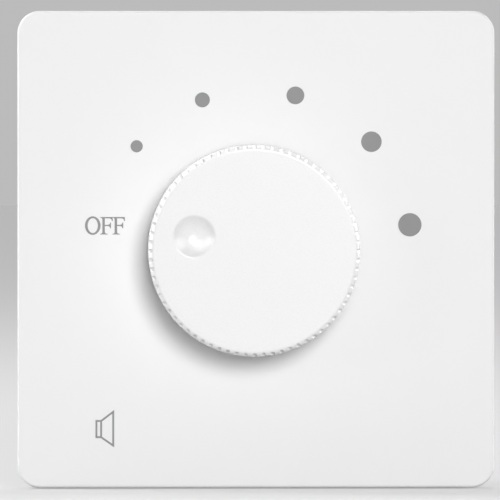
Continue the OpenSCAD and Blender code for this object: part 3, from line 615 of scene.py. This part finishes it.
def add_winding(bm):
    """A coil under tape: crowned between its flanges, with the last end of the tape lapped over."""
    low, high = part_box("transformer_winding")
    middle = (low + high) / 2 / MM
    size = (high - low) / MM
    points = [v.co / MM - middle for v in frame["nodes"]["transformer_winding"].data.vertices]
    hole_x = min(abs(p.x) for p in points)
    hole_up = min(abs(p.z) for p in points)
    rings = []
    for level in range(WINDING_LEVELS + 1):
        along = 2 * level / WINDING_LEVELS - 1
        outer, inner = [], []
        for i in range(WINDING_SIDES):
            degrees = 360 * i / WINDING_SIDES
            lapped = TAPE_LAP_DEG[0] <= degrees <= TAPE_LAP_DEG[1]
            inset = WINDING_CROWN * along ** WINDING_FLATNESS + (0 if lapped else TAPE_T)
            x, up = squarish(math.radians(degrees), size.x / 2 - inset, size.z / 2 - inset)
            out = -middle.y + along * size.y / 2
            outer.append(bm.verts.new(place(middle.x + x, middle.z + up, out)))
            if level in (0, WINDING_LEVELS):
                x, up = on_rectangle(x, up, hole_x, hole_up)
                inner.append(bm.verts.new(place(middle.x + x, middle.z + up, out)))
        rings.append(outer)
        if level == 0:
            rings.insert(0, inner)
    rings.append(inner)
    join_rings(bm, rings)


bm = bmesh.new()
add_winding(bm)
winding = finish_piece("taped_winding", bm, "winding_tape")
winding.data.shade_smooth()
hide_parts("transformer_winding")


# Stage, light and camera

def add_lamp(name, at, size, power):
    """A round soft lamp that looks at the cover."""
    lamp = bpy.data.lights.new(name, "AREA")
    lamp.shape = "DISK"
    lamp.size = size
    lamp.energy = power
    obj = add_object(name, lamp)
    obj.location = at
    turn_to(obj, -Vector(at))
    obj.visible_camera = False
    return obj


add_lamp("key_lamp", **KEY)
for side, (angle, lift, power) in RIM_LAMPS.items():
    turn, lean = math.radians(angle), math.radians(lift)
    towards = Vector((math.cos(turn) * math.cos(lean), -math.sin(lean), math.sin(turn) * math.cos(lean)))
    add_lamp(f"rim_lamp_{side}", towards * RIM_LAMP_DISTANCE, RIM_LAMP_SIZE, power)
add_lamp("rear_lamp_left", **REAR_LEFT)
add_lamp("rear_lamp_right", **REAR_RIGHT)
panel = add_lamp("panel", **PANEL)
panel.data.shape = "ELLIPSE"
panel.data.size_y = PANEL_HEIGHT
side_panels = [add_lamp(f"panel_{side}", **lamp) for side, lamp in SIDE_PANELS.items()]
for reflected in [panel] + side_panels:
    reflected.visible_diffuse = False


def seen_directly(tree):
    """1 where a ray comes straight from the camera or by way of a reflection, else 0."""
    path_kind = tree.nodes.new("ShaderNodeLightPath")
    seen_by = path_kind.outputs["Is Camera Ray"]
    for kind in ("Is Glossy Ray", "Is Transmission Ray"):
        either = tree.nodes.new("ShaderNodeMath")
        either.operation = "MAXIMUM"
        tree.links.new(seen_by, either.inputs[0])
        tree.links.new(path_kind.outputs[kind], either.inputs[1])
        seen_by = either.outputs[0]
    return seen_by


world = bpy.data.worlds.new("studio")
world.use_nodes = True
scene.world = world
tree = world.node_tree
ambient = tree.nodes["Background"]
ambient.inputs["Color"].default_value = grey(1)
ambient.inputs["Strength"].default_value = SURROUND
seen = tree.nodes.new("ShaderNodeBackground")
seen.inputs["Color"].default_value = grey(BACKDROP)
choose = tree.nodes.new("ShaderNodeMixShader")
tree.links.new(seen_directly(tree), choose.inputs["Fac"])
tree.links.new(ambient.outputs["Background"], choose.inputs[1])
tree.links.new(seen.outputs["Background"], choose.inputs[2])
tree.links.new(choose.outputs["Shader"], tree.nodes["World Output"].inputs["Surface"])

floor_mat = make_material("floor", (FLOOR_COLOUR,) * 3, **FLOOR_FINISH)
floor_shader = floor_mat.node_tree.nodes["Principled BSDF"]
floor_shader.inputs["Emission Color"].default_value = grey(FLOOR_LIFT)
link(floor_mat, seen_directly(floor_mat.node_tree), floor_shader.inputs["Emission Strength"])
bm = bmesh.new()
bmesh.ops.create_grid(bm, x_segments=FLOOR_SEGMENTS, y_segments=FLOOR_SEGMENTS, size=FLOOR_HALF)
floor_mesh = bpy.data.meshes.new("floor")
bm.to_mesh(floor_mesh)
bm.free()
floor_mesh.materials.append(floor_mat)
floor = add_object("floor", floor_mesh)
floor.location.z = cad_box[0].z - FLOOR_DROP

aim = place(AIM_X, AIM_UP, face_out)
left, up = math.radians(VIEW_LEFT_DEG), math.radians(VIEW_UP_DEG)
towards_camera = Vector((-math.sin(left) * math.cos(up), -math.cos(left) * math.cos(up), math.sin(up)))
camera_data = bpy.data.cameras.new("camera")
camera_data.sensor_width = SENSOR
camera_data.lens = SENSOR * VIEW_DISTANCE / (IMAGE_PX / PX_PER_MM * MM)
camera = add_object("camera", camera_data)
camera.location = aim + towards_camera * VIEW_DISTANCE
turn_to(camera, -towards_camera)
scene.camera = camera
scene.view_settings.view_transform = "Standard"
